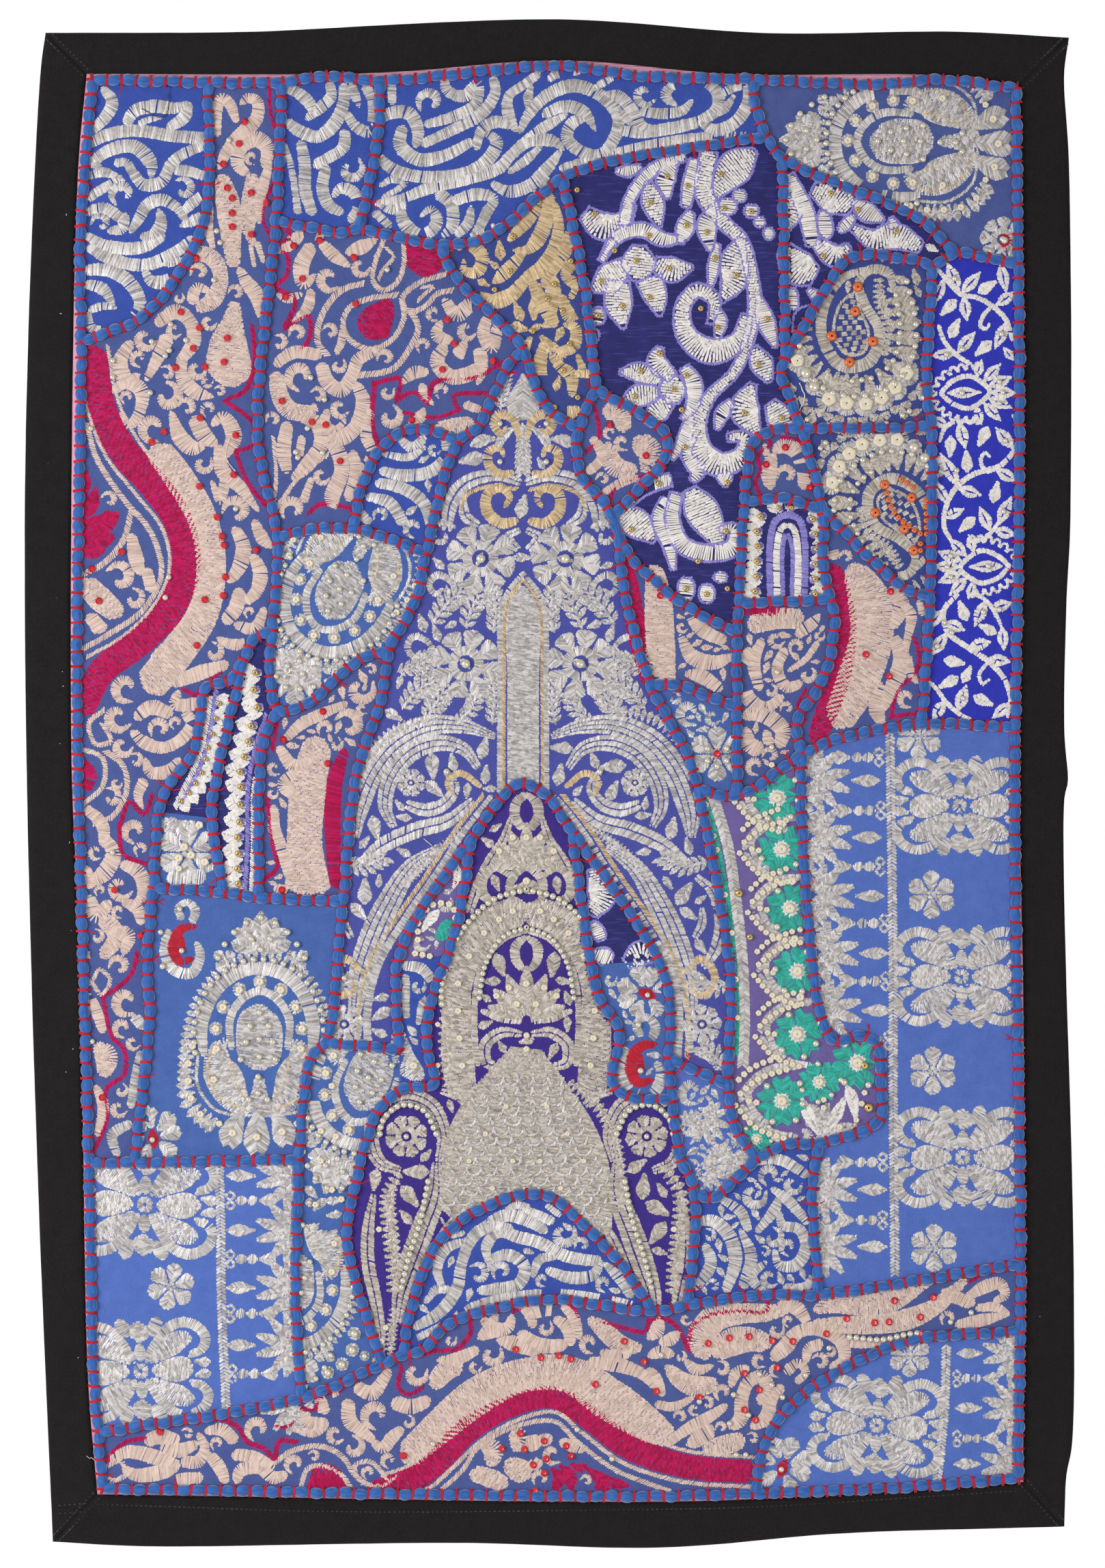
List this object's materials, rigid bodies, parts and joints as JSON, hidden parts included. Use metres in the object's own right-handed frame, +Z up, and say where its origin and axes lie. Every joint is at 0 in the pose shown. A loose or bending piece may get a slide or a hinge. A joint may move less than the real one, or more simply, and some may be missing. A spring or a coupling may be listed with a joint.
{
  "type": "patchwork wall hanging",
  "caption": "Crazy-patchwork wall hanging of blue sari scraps with silver, peach and beaded embroidery, braid-covered seams and a mitred black border.",
  "frame": {"origin": "the middle of the top edge, where the hanging is held", "axes": "+Z up the cloth, +X to the right seen from the front, +Y out of the back, so the embroidered front faces -Y"},
  "size_m": [0.6921, 0.0092, 1.008],
  "materials": {
    "black_cotton": "plain woven cotton, matt",
    "pink_cotton": "thin plain cotton, matt",
    "royal_blue": "sari cotton, soft sheen",
    "sari_blue": "fine crepe cloth, matt",
    "vivid_blue": "smooth satin cloth",
    "navy": "space-dyed cloth, satin sheen",
    "violet_blue": "satin cloth",
    "deep_violet": "silk cloth, satin sheen",
    "mid_blue": "crinkled cotton, matt",
    "cornflower": "sari cotton with a fine self stripe",
    "grey_violet": "thin silk cloth, soft sheen",
    "braid_blue": "loosely twisted cotton roving, matt",
    "zari_silver": "silver metal thread, satin stitched",
    "zari_gold": "aged gold metal thread",
    "floss_white": "white embroidery floss",
    "floss_peach": "peach embroidery floss, matt",
    "floss_magenta": "magenta embroidery floss",
    "floss_teal": "teal embroidery floss",
    "floss_lilac": "lilac embroidery floss",
    "thread_red": "red sewing thread",
    "thread_black": "black sewing thread",
    "stone_red": "red faceted glass stone",
    "bead_silver": "small silver-lined beads",
    "bead_cream": "cream bone-like beads",
    "bead_orange": "orange seed beads"
  },
  "bodies": {
    "root": {"patch_corner_scroll": "royal_blue", "patch_peach_column": "sari_blue", "patch_small_scroll": "royal_blue", "patch_wide_scroll": "royal_blue", "patch_corner_paisley": "mid_blue", "patch_white_sprig": "navy", "patch_bead_sprays": "mid_blue", "patch_vine": "vivid_blue", "patch_gold_leaves": "royal_blue", "patch_peach_rose": "sari_blue", "patch_little_scroll": "royal_blue", "patch_bead_paisley": "mid_blue", "patch_peach_band_left": "sari_blue", "patch_leaf_strip_left": "navy", "patch_leaf_strip_right": "navy", "patch_silver_flower": "mid_blue", "patch_paisley_field": "mid_blue", "patch_border_left": "cornflower", "patch_peach_wave": "sari_blue", "patch_border_right": "cornflower", "patch_border_corner": "cornflower", "patch_teal_flowers": "grey_violet", "patch_rosette": "mid_blue", "patch_peach_wedge": "sari_blue", "patch_peach_leaves": "sari_blue", "patch_peach_band_right": "sari_blue", "patch_leaf_arch": "navy", "patch_peach_leaf": "sari_blue", "patch_bead_sprays_low": "mid_blue", "patch_navy_flowers": "navy", "patch_peach_heart": "sari_blue", "patch_yoke": "violet_blue", "patch_arch_panel": "deep_violet", "patch_arch_scroll": "royal_blue", "patch_teal_scrap": "grey_violet", "patch_scroll_scrap_left": "royal_blue", "patch_bead_scrap": "mid_blue", "patch_half_paisley": "mid_blue", "patch_navy_scrap": "navy", "patch_flower_scrap": "mid_blue", "patch_fan_scrap": "cornflower", "patch_scroll_scrap_right": "royal_blue", "ground_cloth": "pink_cotton", "border_top": "black_cotton", "border_right": "black_cotton", "border_bottom": "black_cotton", "border_left": "black_cotton", "frame_braid": "braid_blue", "seam_braid_left": "braid_blue", "seam_braid_top": "braid_blue", "seam_braid_right": "braid_blue", "seam_braid_middle": "braid_blue", "seam_braid_navy": "braid_blue", "seam_braid_yoke_left": "braid_blue", "seam_braid_yoke_right": "braid_blue", "seam_braid_lower_right": "braid_blue", "seam_braid_arch": "braid_blue", "seam_braid_bottom": "braid_blue"}
  },
  "joints": []
}
